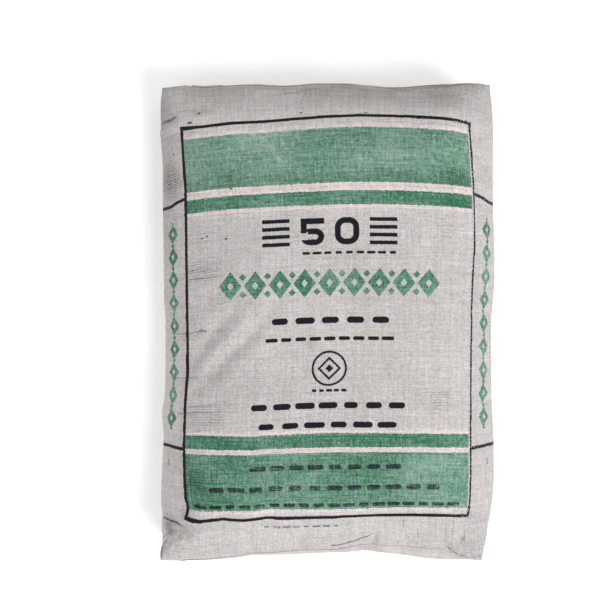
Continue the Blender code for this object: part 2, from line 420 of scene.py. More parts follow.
def near(u, v, points):
    """Distance in px from a broken line, and the share of its length at the nearest point."""
    best = np.full(u.shape, 1e9)
    share = np.zeros(u.shape)
    p = np.array(points, float)
    seg = np.linalg.norm(np.diff(p, axis=0), axis=1)
    start = np.concatenate([[0], np.cumsum(seg)])
    for n in range(len(seg)):
        d = (p[n + 1] - p[n]) / seg[n]
        t = np.clip((u - p[n, 0]) * d[0] + (v - p[n, 1]) * d[1], 0, seg[n])
        r = np.hypot(u - p[n, 0] - t * d[0], v - p[n, 1] - t * d[1])
        closer = r < best
        best[closer] = r[closer]
        share[closer] = ((start[n] + t) / start[-1])[closer]
    return best, share


u, v = seen(X)
upper = normals(g, X)
faces_up = ramp(0.0, 0.25, upper[:, 2])
for points, half, height in FOLDS:
    d, share = near(u, v, points)
    X += upper * (height * 1e-3 * np.exp(-(d / half) ** 2) * np.sin(np.pi * (0.08 + 0.84 * share)) * faces_up)[:, None]

# Folded ends: the long flaps lie over the short ones, along lines at 45 degrees from the corners.
for end, sign in ((0, -1), (-1, 1)):
    for i in range(1, nx):
        a = min(i, nx - i) * WIDTH / nx
        for k in range(1, nz):
            b = min(k, nz - k) * DEPTH / nz
            X[I[i, end, k], 1] += sign * 0.0008 * float(ramp(-0.0015, 0.0015, a - b))

X[:, 2] -= X[:, 2].min()

# =============================================================================================
# The print's coordinates on the fabric, millimetres: s round the tube, t down from the top line
# =============================================================================================
FRAME_S, FRAME_T = 178.0, 500.0
LEFT_LINE = ((110, 180), (130, 181), (160, 183), (190, 185), (265, 186), (340, 187), (370, 187.3), (400, 185), (445, 183.3),
             (475, 184), (498, 185.2), (508, 187.9), (518, 185.4), (550, 184))
RIGHT_LINE = ((110, 469), (128, 470), (158, 472), (188, 474), (218, 475), (248, 475), (278, 473), (308, 472), (353, 471.5),
              (413, 471), (473, 471), (503, 470), (517, 468), (550, 466))
LEVELS = (   # image height of the print's level t along the width
    (0.0, ((180, 129), (200, 127), (232, 123), (264, 121.5), (296, 118.7), (328, 116.2), (360, 115), (408, 116), (440, 118),
           (456, 120), (471, 124))),
    (110.6, ((185, 214.5), (200, 212.5), (230, 209.3), (264, 207.5), (300, 205.7), (350, 204), (400, 204.3), (450, 206.6), (472, 209))),
    (396.9, ((185, 435.0), (215, 436), (247, 436.6), (270, 435.6), (300, 434), (335, 433), (400, 433.4), (471, 434))),
    (490.6, ((187, 508.5), (206, 512), (225, 511.1), (252, 511.2), (270, 509.3), (335, 509.3), (400, 507.2), (470, 508))),
    (500.0, ((185, 518), (192, 521.3), (200, 522.3), (211, 520.6), (223, 519.3), (234, 520.5), (244, 521.2), (256, 519.5),
             (267, 518), (285, 518.8), (310, 518), (335, 517.4), (382, 515.3), (414, 515), (462, 516), (470, 515.6))),
)


def curve(points, x):
    a = np.array(points)
    return np.interp(x, a[:, 0], a[:, 1])


mm = 1000.0
ijk = g.ijk
x0 = g.rest[:, 0] * mm
drop = (DEPTH - g.rest[:, 2]) * mm
half_w, depth_mm = WIDTH / 2 * mm, DEPTH * mm
t_own = FRAME_T / 2 - g.rest[:, 1] * mm

u, v = seen(X)
U, V = u[FRONT], v[FRONT]
a = (U - curve(LEFT_LINE, V)) / (curve(RIGHT_LINE, V) - curve(LEFT_LINE, V))
s_target = (2 * a - 1) * FRAME_S
s_fix = s_target - x0[FRONT]
heights = [curve(c, U) for _, c in LEVELS]
t_target = np.full(U.shape, np.nan)
for (t0, _), (t1, _), lo, hi in zip(LEVELS[:-1], LEVELS[1:], heights[:-1], heights[1:]):
    inside = (V >= lo) & (V <= hi)
    t_target[inside] = (t0 + (t1 - t0) * (V - lo) / (hi - lo))[inside]
t_fix = t_target - t_own[FRONT]
for i in range(nx + 1):          # past the frame the fabric runs on evenly
    known = np.nonzero(~np.isnan(t_fix[i]))[0]
    t_fix[i, :known[0]] = t_fix[i, known[0]]
    t_fix[i, known[-1] + 1:] = t_fix[i, known[-1]]
S_FIX, T_FIX = np.zeros(g.N), np.zeros(g.N)
s_far = np.where(ijk[:, 2] == nz, x0, 0.0)      # s of a vertex, signed, before the fix
on_side = (ijk[:, 2] < nz) & ((ijk[:, 0] == 0) | (ijk[:, 0] == nx))
s_far[on_side] = np.sign(x0[on_side]) * (half_w + drop[on_side])
under = (ijk[:, 2] == 0) & (ijk[:, 0] > 0) & (ijk[:, 0] < nx)
s_far[under] = np.where(x0[under] < 0, -1, 1) * (half_w + depth_mm + half_w - np.abs(x0[under]))
for j in range(ny + 1):
    inner = np.nonzero((a[:, j] >= 0) & (a[:, j] <= 1))[0]
    lo, hi = inner[0], inner[-1]
    xs = x0[FRONT[lo:hi + 1, j]]
    ring = LOOP[:, j]
    s = s_far[ring]
    fade = 1 - ramp(40, 230, np.maximum(xs[0] - s, s - xs[-1]))
    S_FIX[ring] = np.interp(s, xs, s_fix[lo:hi + 1, j]) * fade
    T_FIX[ring] = np.interp(s, xs, t_fix[lo:hi + 1, j]) * fade

PRINT_S = s_far + S_FIX
PRINT_T = t_own + T_FIX


shown_part = np.nonzero(normals(g, X)[:, 2] > 0.12)[0]


def on_print(*places):
    """The print coordinates under some image places, from the nearest vertices that face up."""
    out = []
    for x, y in places:
        w = shown_part[np.argsort((u[shown_part] - x) ** 2 + (v[shown_part] - y) ** 2)[:14]]
        A = np.stack([np.ones(14), u[w] - x, v[w] - y], 1)
        out.append(tuple(float(np.linalg.lstsq(A, f[w], rcond=None)[0][0]) for f in (PRINT_S, PRINT_T)))
    return out


def corner_print(g, quads_from, quads_to, kind):
    """The print coordinates of the corners of some quads."""
    q = g.quads[quads_from:quads_to]
    out = np.zeros((len(q), 4, 3))
    if kind == "end":
        out[..., 0] = x0[q]
        out[..., 1] = drop[q]
        out[..., 2] = np.where(g.rest[q, 1] > 0, 2.0, 1.0)        # 1 the bottom end, 2 the top end
        return out
    out[..., 0] = PRINT_S[q]
    if kind == "under":            # the coordinate turns over in the middle of the back
        middle = x0[q].mean(1)
        seam = np.abs(x0[q]) < 1e-6
        out[..., 0] = np.where(seam, np.where(middle[:, None] < 0, -1, 1) * (2 * half_w + depth_mm), out[..., 0])
    out[..., 1] = PRINT_T[q]
    return out


bounds_at = np.concatenate([[0], np.cumsum(g.sizes)])
kinds = ("under", "tube", "tube", "tube", "end", "end")
corner = np.concatenate([corner_print(g, bounds_at[n], bounds_at[n + 1], kinds[n]) for n in range(6)])


def add_mesh(name, points, quads, mat, prints=None, sharp=None):
    me = bpy.data.meshes.new(name)
    me.from_pydata([tuple(p) for p in points], [], [tuple(int(c) for c in q) for q in quads])
    me.update()
    me.materials.append(mat)
    me.shade_smooth()
    if prints is not None:
        at = me.attributes.new("print", "FLOAT_VECTOR", "CORNER")
        at.data.foreach_set("vector", np.asarray(prints, F).ravel())
    if sharp is not None:
        ed = np.zeros(len(me.edges) * 2, np.int32)
        me.edges.foreach_get("vertices", ed)
        ed = ed.reshape(-1, 2)
        flag = sharp[ed[:, 0]] & sharp[ed[:, 1]]
        me.attributes.new("sharp_edge", "BOOLEAN", "EDGE").data.foreach_set("value", flag)
    ob = bpy.data.objects.new(name, me)
    bpy.context.scene.collection.objects.link(ob)
    return ob


# =============================================================================================
# Shader arithmetic
# =============================================================================================
def srgb(r, g_, b):
    return tuple(c / 255 / 12.92 if c / 255 <= 0.04045 else ((c / 255 + 0.055) / 1.055) ** 2.4 for c in (r, g_, b))


TREE = None


class Num:
    """A number that the shader works out at each point."""

    def __init__(s, socket):
        s.socket = socket

    def __add__(s, o): return calc("ADD", s, o)
    def __radd__(s, o): return calc("ADD", o, s)
    def __sub__(s, o): return calc("SUBTRACT", s, o)
    def __rsub__(s, o): return calc("SUBTRACT", o, s)
    def __mul__(s, o): return calc("MULTIPLY", s, o)
    def __rmul__(s, o): return calc("MULTIPLY", o, s)
    def __truediv__(s, o): return calc("DIVIDE", s, o)
    def __neg__(s): return calc("MULTIPLY", s, -1.0)


def plug(socket, value):
    if isinstance(value, Num):
        TREE.links.new(value.socket, socket)
    elif hasattr(value, "links"):
        TREE.links.new(value, socket)
    else:
        socket.default_value = value


def calc(op, *args, clamp=False):
    n = TREE.nodes.new("ShaderNodeMath")
    n.operation = op
    n.use_clamp = clamp
    for k, a_ in enumerate(args):
        plug(n.inputs[k], a_ if isinstance(a_, Num) else float(a_))
    return Num(n.outputs[0])


def least(*a_):
    out = a_[0]
    for b in a_[1:]:
        out = calc("MINIMUM", out, b)
    return out


def most(*a_):
    out = a_[0]
    for b in a_[1:]:
        out = calc("MAXIMUM", out, b)
    return out


def size(a_): return calc("ABSOLUTE", a_)
def frac(a_): return calc("FRACT", a_)
def whole(a_): return calc("FLOOR", a_)
def unit(a_): return calc("ADD", a_, 0.0, clamp=True)


def rise(lo, hi, x):
    """0 below lo, 1 above hi, smooth between."""
    n = TREE.nodes.new("ShaderNodeMapRange")
    n.interpolation_type = "SMOOTHSTEP"
    plug(n.inputs[0], x)
    n.inputs[1].default_value = lo
    n.inputs[2].default_value = hi
    return Num(n.outputs[0])


def line_map(x, a0, a1, b0, b1):
    n = TREE.nodes.new("ShaderNodeMapRange")
    plug(n.inputs[0], x)
    for k, val in enumerate((a0, a1, b0, b1)):
        n.inputs[k + 1].default_value = val
    return Num(n.outputs[0])


def vec(x, y, z=0.0):
    n = TREE.nodes.new("ShaderNodeCombineXYZ")
    for k, a_ in enumerate((x, y, z)):
        plug(n.inputs[k], a_ if isinstance(a_, Num) else float(a_))
    return n.outputs[0]


def noise(x, y, z=0.0, detail=2.0, rough=0.5, warp=0.0):
    n = TREE.nodes.new("ShaderNodeTexNoise")
    TREE.links.new(vec(x, y, z), n.inputs["Vector"])
    n.inputs["Scale"].default_value = 1.0
    n.inputs["Detail"].default_value = detail
    n.inputs["Roughness"].default_value = rough
    n.inputs["Distortion"].default_value = warp
    return Num(n.outputs[0])


def chance(x, seed=0.0):
    n = TREE.nodes.new("ShaderNodeTexWhiteNoise")
    n.noise_dimensions = "2D"
    TREE.links.new(vec(x, seed), n.inputs["Vector"])
    return Num(n.outputs[0])


def blend_colour(f, c0, c1):
    n = TREE.nodes.new("ShaderNodeMix")
    n.data_type = "RGBA"
    plug(n.inputs[0], f)
    for k, c in ((6, c0), (7, c1)):
        if isinstance(c, tuple):
            n.inputs[k].default_value = (*c, 1.0)
        else:
            TREE.links.new(c, n.inputs[k])
    return n.outputs[2]


def times_colour(f, c):
    """Colour c with its brightness multiplied by f."""
    n = TREE.nodes.new("ShaderNodeVectorMath")
    n.operation = "SCALE"
    if isinstance(c, tuple):
        n.inputs[0].default_value = c
    else:
        TREE.links.new(c, n.inputs[0])
    plug(n.inputs["Scale"], f)
    return n.outputs[0]


def box(x, y, cx, cy, hx, hy, r=0.0):
    """Signed distance from a box with corner radius r."""
    qx = size(x - cx) - (hx - r)
    qy = size(y - cy) - (hy - r)
    if not r:
        return most(qx, qy)
    px, py = most(qx, 0.0), most(qy, 0.0)
    return calc("SQRT", px * px + py * py) + least(most(qx, qy), 0.0) - r


def fill(d, soft=0.45):
    """Ink where the signed distance d is below 0."""
    return 1.0 - rise(-soft, soft, d)


def material(name):
    global TREE
    m = bpy.data.materials.new(name)
    m.use_nodes = True
    TREE = m.node_tree
    return m, TREE.nodes["Principled BSDF"]


def print_coordinates():
    n = TREE.nodes.new("ShaderNodeAttribute")
    n.attribute_name = "print"
    s = TREE.nodes.new("ShaderNodeSeparateXYZ")
    TREE.links.new(n.outputs["Vector"], s.inputs[0])
    return [Num(o) for o in s.outputs]


def position():
    n = TREE.nodes.new("ShaderNodeTexCoord")
    s = TREE.nodes.new("ShaderNodeSeparateXYZ")
    TREE.links.new(n.outputs["Object"], s.inputs[0])
    return [Num(o) for o in s.outputs]


def bump(shader, height, distance):
    n = TREE.nodes.new("ShaderNodeBump")
    n.inputs["Distance"].default_value = distance
    plug(n.inputs["Height"], height)
    TREE.links.new(n.outputs[0], shader.inputs["Normal"])
    return n


TAPE = 2.3          # width of one woven tape, mm


def weave(s, t):
    """(height 0 to 1 of the plain weave, 1 where a lengthwise tape is on top, depth of the gaps)."""
    a_, b = s / TAPE, t / TAPE
    fa, fb = frac(a_), frac(b)
    odd = calc("MODULO", calc("ADD", whole(a_) + whole(b), 4000.0), 2.0)
    over = rise(0.4, 0.6, odd)
    ca, cb = fa * 2.0 - 1.0, fb * 2.0 - 1.0
    pa, pb = ca * ca, cb * cb
    warp_h = 1.0 - pa * pa * 0.9 - pb * 0.35
    weft_h = 1.0 - pb * pb * 0.9 - pa * 0.35
    h = warp_h * over + weft_h * (1.0 - over)
    gap = rise(0.72, 1.0, most(size(ca), size(cb)))
    return h, over, gap


def px(x):
    return (x - 329.0) * 1.25


def py(y):
    return (y - 115.5) * 1.25


def row_of_bars(s, t, x_from, x_to, y_mid, half, count, seed, short=0.30, long=0.455):
    """A row of plain rounded bars of uneven length, half mm thick each way, between image places."""
    pitch = (px(x_to) - px(x_from)) / count
    cell = (s - px(x_from)) / pitch
    length = line_map(chance(whole(cell), seed), 0.0, 1.0, short * pitch - half, long * pitch - half)
    qx = most(size(frac(cell) - 0.5) * pitch - length, 0.0)
    ly = t - py(y_mid)
    d = calc("SQRT", qx * qx + ly * ly) - half
    middle, reach = (px(x_from) + px(x_to)) / 2, (px(x_to) - px(x_from)) / 2
    return fill(most(d, size(s - middle) - reach))


def vector_math(op, *args):
    """A vector node; each input is a vector socket, a number or three constants."""
    n = TREE.nodes.new("ShaderNodeVectorMath")
    n.operation = op
    for k, a_ in enumerate(args):
        plug(n.inputs["Scale"] if op == "SCALE" and k == 1 else n.inputs[k], a_)
    return Num(n.outputs["Value"]) if op in ("LENGTH", "DISTANCE", "DOT_PRODUCT") else n.outputs[0]


def oval(p, place, reach):
    """Distance from an image place as a share of the oval's reach (mm along s and t)."""
    (cs, ct), = on_print(place)
    return vector_math("LENGTH", vector_math("MULTIPLY_ADD", p, (1 / reach[0], 1 / reach[1], 0.0),
                                             (-cs / reach[0], -ct / reach[1], 0.0)))


def crease(p, places, half):
    """1 along a broken line through image places, 0 from half mm off it, finer at its ends."""
    spots = on_print(*places)
    out = None
    for n in range(len(spots) - 1):
        way = np.subtract(spots[n + 1], spots[n])
        across = max(float(way @ way), 0.01)
        rel = vector_math("SUBTRACT", p, (*spots[n], 0.0))
        h = calc("ADD", vector_math("DOT_PRODUCT", rel, (way[0] / across, way[1] / across, 0.0)), 0.0, clamp=True)
        d = vector_math("DISTANCE", rel, vector_math("SCALE", (way[0], way[1], 0.0), h))
        if n == len(spots) - 2:
            d = calc("MULTIPLY_ADD", h * h, half * 0.7, d)
        out = d if out is None else least(out, d)
    return 1.0 - rise(0.0, half, out)


# =============================================================================================
# Materials
# =============================================================================================
def sack_material():
    m, shader = material("woven_print")
    s_raw, t_raw, which_end = print_coordinates()
    end, top_end = unit(which_end), unit(which_end - 1.0)
    tube = 1.0 - end
    wob = noise(s_raw * 0.09, t_raw * 0.09, 3.0, detail=3.0, rough=0.6)
    wob2 = noise(s_raw * 0.55, t_raw * 0.55, 7.0, detail=2.0, rough=0.6)
    wob3 = noise(s_raw * 0.55, t_raw * 0.55, 17.0, detail=2.0, rough=0.6)
    h, over, gap = weave(s_raw, t_raw)
    tape_a = chance(whole(s_raw / TAPE), 3.0)
    tape_b = chance(whole(t_raw / TAPE), 8.0)
    s = s_raw + (wob2 - 0.5) * 1.5
    t = t_raw + (wob3 - 0.5) * 1.5 + (wob - 0.5) * 0.8

    # front and back carry the same frame and bands: the back's middle is at s = round
    round_ = 2 * half_w + depth_mm
    back = rise(half_w + depth_mm / 2, half_w + depth_mm / 2 + 0.1, size(s))
    ls = size(s) * (1.0 - back) + (round_ - size(s)) * back        # distance from the panel's middle
    front = (1.0 - back) * tube

    # ---- grain shared by cloth and ink ------------------------------------------------------
    fine = noise(s_raw * 0.8, t_raw * 0.8, 2.0, detail=3.0, rough=0.7)
    grit = noise(s_raw * 0.40, t_raw * 0.43, 19.0, detail=2.0, rough=0.6)
    mottle = noise(s_raw * 0.16, t_raw * 0.20, 14.0, detail=3.0, rough=0.7)
    broad = noise(s_raw * 0.010, t_raw * 0.010, 12.0, detail=4.0, rough=0.6)
    cloud = noise(s_raw * 0.011, t_raw * 0.014, 5.0, detail=3.0, rough=0.55)
    lengthwise = noise(s_raw * 0.44, t_raw * 0.030, 25.0, detail=2.0, rough=0.6)
    crosswise = noise(s_raw * 0.030, t_raw * 0.44, 26.0, detail=2.0, rough=0.6)

    # ---- navy: frame, side lines --------------------------------------------------------
    left = 1.0 - rise(-170.0, -160.0, s)
    right = rise(160.0, 170.0, s)
    ends = 1.0 - rise(8.0, 16.0, size(FRAME_T / 2 - size(t - FRAME_T / 2)))
    thick = 1.55 + left * 0.65 + most(ends * 0.5, (1.0 - right) * 0.2) + (cloud - 0.5) * 1.2 - right * (1.0 - ends) * (over * 0.25 - 0.08)
    d_frame = size(most(ls - FRAME_S, size(t - FRAME_T / 2) - FRAME_T / 2)) - thick
    frame_ink = fill(d_frame, 0.5)
    beyond = rise(FRAME_S, FRAME_S + 2.0, ls)
    sag = most(least(ls - (FRAME_S + 2.0), 34.0), 0.0) * 0.20
    side_line = fill(least(size(t - 91.0 - sag), size(t - 415.0 + sag * 0.3)) - 2.2, 0.5) * beyond
    navy = most(frame_ink, side_line)

    # ---- green bands; their edges step from tape to tape -----------------------------------
    te = t + (tape_a - 0.5) * 0.9
    within = fill(ls - left * 0.9 - (FRAME_S - 3.0), 0.5)
    wide = least(size(te - (14.4 + 83.1) / 2) - (83.1 - 14.4) / 2, size(te - (420.6 + 490.6) / 2) - 35.0)
    thin = least(size(te - (93.1 + 110.6) / 2) - (110.6 - 93.1) / 2, size(te - (396.9 + 414.4) / 2) - 8.75)
    wide_ink, thin_ink = fill(wide, 0.5) * within, fill(thin, 0.5) * within
    green = most(wide_ink, thin_ink)
    upper_wide = fill(t - 88.0, 1.0) * wide_ink

    # ---- front panel: plain figures and ornament ------------------------------------------------
    # the figures 5 and 0
    cx5, cx0, cy, fh, fw, q = px(311.5), px(345.5), py(230.5), 17.0, 14.5, 7.4
    bowl = size(box(s, t, cx5, cy + fh - 10.6, fw - q / 2, 10.6 - q / 2, 7.5)) - q / 2
    cut = box(s, t, cx5 - fw, cy + fh - 11.9, 8.8, 4.9)
    five = least(most(bowl, -cut),
                 box(s, t, cx5, cy - fh + q / 2, fw, q / 2),
                 box(s, t, cx5 - fw + q / 2, cy - fh / 2 + 0.9, q / 2, fh / 2 + 0.9))
    zero = size(box(s, t, cx0, cy, fw + 0.6 - q / 2, fh - q / 2, 9.0)) - q / 2
    slat = (2 * fh - 4.8) / 3
    slats = size((frac((t - (cy - fh + 2.4)) / slat + 0.5) - 0.5) * slat) - 2.4
    beside = most(least(size(s - px(275.5)), size(s - px(381.5))) - 17.0, slats, size(t - cy) - fh)
    navy_front = fill(least(five, zero, beside), 0.5)
    # the rows below it
    for n, (xa, xb, y_mid, half, count) in enumerate(((300, 396, 252.0, 1.7, 9), (267, 393, 319.5, 4.0, 5),
                                                      (264, 395, 338, 2.4, 9), (311, 348, 390, 1.8, 5),
                                                      (249, 409, 405, 3.9, 7), (256, 400, 424.5, 3.7, 6))):
        navy_front = most(navy_front, row_of_bars(s, t, xa, xb, y_mid, half, count, 11.0 + n))
    # ring with a lozenge
    rx, ry = s - px(329), t - py(368)
    radius = calc("SQRT", rx * rx + ry * ry)
    ring_ = size(radius - 20.8) - 1.4
    diamond_r = size(rx) + size(ry)
    lozenge = least(size(diamond_r - 13.0) - 1.9, diamond_r - 5.0)
    navy_front = most(navy_front, fill(least(ring_, lozenge), 0.5))
    # worn rows in the lower band, and what is left of a row under the frame
    faded = row_of_bars(s, t, 250, 404, 466.5, 3.1, 8, 31.0)
    faded = most(faded, row_of_bars(s, t, 208, 444, 487, 3.1, 12, 32.0))
    faded = most(faded, row_of_bars(s, t, 192, 462, 504, 2.3, 18, 33.0))
    marks = row_of_bars(s, t, 264, 344, 526, 1.4, 8, 41.0, short=0.16)

    # green ornament: a row of lozenges and dots on the front, a chain of them down each side
    unit_w = (px(440) - px(218)) / 9
    cell = (s - px(218)) / unit_w
    gx = (frac(cell) - 0.5) * unit_w
    gy = t - py(282)
    spread = size(gx) * 1.28 + size(gy)
    reach = (px(440) - px(218)) / 2
    diamonds = most(spread - 18.0, 5.0 - spread, size(s - px(329)) - reach)
    dot_x = (frac(cell + 0.5) - 0.5) * unit_w
    dots = most(size(dot_x) + size(size(gy) - 11.0) - 4.6, size(s - px(329)) - (reach - 6.0))
    green_front = fill(most(least(diamonds, dots), size(gy) - 19.0), 0.5)
    side_s = size(s) - SIDE_AT
    length_c = (t - py(211)) / 30.2
    sy = size(frac(length_c) - 0.5) * 30.2
    link = size(side_s) * 1.1 + sy
    chain = most(link - 13.4, 4.0 - link)
    sy2 = size(frac(length_c + 0.5) - 0.5) * 30.2
    chain = least(chain, size(side_s) + sy2 - 4.0)
    chain = most(chain, size(t - (py(211) + 136.0)) - 136.0)
    green_side = fill(chain, 0.5)

    left_side = 1.0 - rise(-150.0, 0.0, s_raw)
    # painted shade: the right side is darkened, in the fabric and in the upper green band
    right_painted_shade = rise(60.0, 160.0, s_raw)

    # ---- ink wear ---------------------------------------------------------------------------
    streak = noise(s_raw * 0.018, t_raw * 0.42, 1.0, detail=3.0, rough=0.65)
    streak_v = noise(s_raw * 0.42, t_raw * 0.05, 9.0, detail=2.0, rough=0.6)
    speck = noise(s_raw * 0.42, t_raw * 0.42, 21.0, detail=3.0, rough=0.7)
    ladder = (streak - 0.5) * 1.5 + (streak_v - 0.5) * 0.7 + (speck - 0.5) * 1.1 + (cloud - 0.5) * 0.9
    lower_right = rise(40.0, 190.0, s_raw) * rise(392.0, 440.0, t_raw)
    tone = 0.46 + (streak - 0.5) * 1.7 + (streak_v - 0.5) * 1.5 + (speck - 0.5) * 2.1 + (mottle - 0.5) * 1.7
    tone = tone + (cloud - 0.5) * 1.6 + (fine - 0.5) * 0.8
    tone = tone + upper_wide * (0.24 + left_side * 0.20 - right_painted_shade * 0.18) - thin_ink * 0.20 + lower_right * 0.42 - upper_wide * rise(56.0, 82.0, t) * 0.40
    green_cover = 0.98 - rise(0.95, 1.6, tone) * 0.36 - upper_wide * 0.04
    navy_cover = 0.99 - rise(0.34, 0.80, ladder) * 0.35
    broken = rise(150.0, 170.0, s) * rise(0.58, 0.68, noise(s_raw * 0.5, t_raw * 0.33, 33.0, detail=1.0)) * 0.7
    faded_cover = 0.84 - rise(-0.05, 0.45, ladder * 0.7 + (mottle - 0.5) * 1.2) * 0.5
    green_all = most(green * tube, most(green_front * front, green_side * tube)) * green_cover
    navy_all = most(navy * tube * (1.0 - broken), navy_front * front) * navy_cover
    navy_all = most(navy_all, most(faded, marks * 0.8) * front * faded_cover)

    # ---- painted shade of the fine creases and puckers of the front, in the colour only, not in the relief ---
    here = vec(s, t)
    crease_shade = None
    for half, depth, places in CREASE_SHADES:
        c = crease(here, places, half) * depth
        crease_shade = c if crease_shade is None else most(crease_shade, c)
    # pucker stripes: painted shade of fine puckers, dark sine stripes over some patches
    pucker_shade = None
    for slope, pitch, patches in PUCKER_SHADES:
        wave = calc("SINE", (t_raw - s_raw * slope + (wob - 0.5) * 5.0) * (2 * math.pi / pitch)) * 0.5 + 0.5
        cover = None
        for place, reach, depth in patches:
            c = (1.0 - rise(0.3, 1.0, oval(here, place, (reach[0] * 1.25, reach[1] * 1.25)))) * depth
            cover = c if cover is None else most(cover, c)
        c = wave * cover
        pucker_shade = c if pucker_shade is None else most(pucker_shade, c)
    # painted shade in the folded bottom-left corner and along the fold at the bottom right
    corner_shade = 1.0 - rise(0.1, 1.0, least(oval(here, (169, 528), (19.0, 14.0)), oval(here, (163, 547), (9.0, 22.0)),
                                      oval(here, (462, 540), (9.0, 18.0)) + 0.4))
    crease_shade, pucker_shade = crease_shade * front, pucker_shade * front

    # ---- fabric -----------------------------------------------------------------------------
    # top margin and top end wall: real dust colour mixed in, plus painted shade that darkens them
    top_dust_and_shade = most((1.0 - rise(-50.0, 6.0, t_raw)) * tube, top_end)
    low_dust = rise(520.0, 556.0, t_raw) * tube
    # painted shade along the left edge, darkest at the top; lower down it turns into painted light
    left_painted_shade = (1.0 - rise(-214.0, -176.0, s_raw)) * tube
    shade = 1.0 + (fine - 0.5) * 0.36 + (grit - 0.5) * 0.78 + (mottle - 0.5) * 0.62 + (broad - 0.5) * 0.28
    shade = shade + (lengthwise - 0.5) * 0.40 + (crosswise - 0.5) * 0.44
    shade = shade + (tape_a - 0.5) * 0.09 + (tape_b - 0.5) * 0.09 + over * 0.04
    # painted shade: both end walls are darkened, the top end wall more
    shade = shade - gap * 0.12 - low_dust * 0.05 - end * 0.05 - top_end * 0.08
    # across sets how much painted shade and dust the top margin gets, less at the left than at the right
    across = line_map(s_raw, -190.0, 190.0, 0.03, 0.15)
    shade = shade - top_dust_and_shade * across
    shade = shade - left_painted_shade * line_map(t_raw, 60.0, 230.0, 0.18, -0.045) - right_painted_shade * tube * 0.045
    # painted shade: the creases, the pucker stripes and the corner folds are darkened in the colour
    shade = shade - crease_shade * 0.80 - pucker_shade * 0.50 - corner_shade * tube * 0.43
    halo = (1.0 - rise(0.0, 9.0, least(wide, thin))) * within
    tint = noise(s_raw * 0.045, t_raw * 0.045, 28.0, detail=2.0)
    base = blend_colour(unit(halo * 0.95 + (tint - 0.48) * 1.1), FABRIC, FABRIC_PINK)
    base = blend_colour(unit(top_dust_and_shade * rise(0.38, 0.62, broad + (mottle - 0.5) * 0.5) * (0.36 + across * 3.0)), base, DUST)
    base = times_colour(shade, base)
    green_c = blend_colour(unit(tone), GREEN_DARK, GREEN_LIGHT)
    # the green ink gets the same painted shade of the creases and puckers
    green_c = times_colour(1.0 + (grit - 0.5) * 0.5 - gap * 0.08 - crease_shade * 0.5 - pucker_shade * 0.55, green_c)
    out = blend_colour(unit(green_all), base, green_c)
    navy_c = times_colour(0.7 + speck * 0.6, NAVY)
    out = blend_colour(unit(navy_all), out, navy_c)
    # dark specks and two ticks
    specks = None
    for x_, y_, half in SPECKS:
        d = (oval(here, (x_, y_), (half * 1.9, half)) - 1.0) * half
        specks = d if specks is None else least(specks, d)
    tick = most(size(size(s) - (FRAME_S + 34.5) - (t - 434.0) * 0.12) - 0.8, size(t - 434.0) - 4.5)
    out = blend_colour(fill(least(specks, tick), 0.5) * tube * 0.85, out, NAVY)
    fray = fill(size(t_raw + (wob2 - 0.5) * 14.0 - 4.0) - 1.1, 0.6) * rise(158.0, 166.0, s_raw) * (end - top_end)
    out = blend_colour(unit(fray) * 0.6, out, NAVY)
    TREE.links.new(out, shader.inputs["Base Color"])

    # ---- relief -----------------------------------------------------------------------------
    crinkle = noise(s_raw * 0.05, t_raw * 0.16, 6.0, detail=4.0, rough=0.6)
    dimple = noise(s_raw * 0.12, t_raw * 0.10, 16.0, detail=3.0, rough=0.6)
    relief = h * 0.30 + fine * 0.14 + grit * 0.30 + crinkle * 1.1 + dimple * 0.7
    flap = size((half_w - size(s_raw)) - (depth_mm / 2 - size(t_raw - depth_mm / 2)))
    relief = relief - (1.0 - rise(0.2, 1.6, flap)) * end * 0.8
    bump(shader, relief, 0.001)
    plug(shader.inputs["Roughness"], line_map(fine + green_all * 0.1, 0.3, 0.8, 0.62, 0.82))
    shader.inputs["Specular IOR Level"].default_value = 0.16
    return m


# painted shade along fine creases: half width mm, depth (how dark the painted shade is), image places along the line
CREASE_SHADES = (
    (3.2, 0.62, ((175, 117.4), (167.6, 121.5), (160, 127.4))),
    (1.3, 0.7, ((189, 280), (221, 276))),
    (1.3, 0.5, ((188, 272), (213, 264.5))),
    (1.9, 1.0, ((206, 331.5), (201, 330.5), (194, 333))),
    (1.2, 0.6, ((177, 334.2), (232, 330))),
    (1.3, 0.6, ((175, 378.5), (221, 375.5))),
    (1.2, 0.5, ((188, 407.2), (229, 402))),
    (1.3, 0.7, ((178, 413.8), (209, 412.2))),
    (1.2, 0.4, ((194, 431.5), (216, 429.5))),
    (1.2, 0.4, ((178, 112.5), (218, 110))),
    (1.5, 0.6, ((251, 84), (252, 98))),
    (1.4, 0.35, ((298, 90), (298, 113))),
    (2.3, 1.3, ((373, 541.5), (374.5, 538.5), (377.5, 531))),
    (1.6, 0.5, ((404, 520), (403, 531))),
    (1.6, 0.5, ((418, 537), (417, 524))),
    (1.8, 0.5, ((464, 540), (465, 528))),
    (2.4, 1.0, ((164, 517), (175.7, 522), (186, 528.5))),
    (2.0, 0.7, ((161, 540), (172, 531))),
    (2.2, 1.0, ((162.6, 556), (163.0, 549))),
)
# painted shade in stripes over puckered patches: slope, pitch mm, (image place, reach px, depth)
PUCKER_SHADES = (
    (-0.13, 3.3, (((172, 182), (27, 27), 1.0), ((205, 270), (30, 16), 0.6))),
    (-0.02, 3.3, (((205, 417), (30, 19), 0.6), ((436, 400), (26, 18), 0.42), ((196, 482), (14, 26), 0.9),
                  ((455, 178), (17, 14), 0.7), ((198, 112), (22, 7), 0.4), ((272, 178), (14, 8), 0.6))),
)
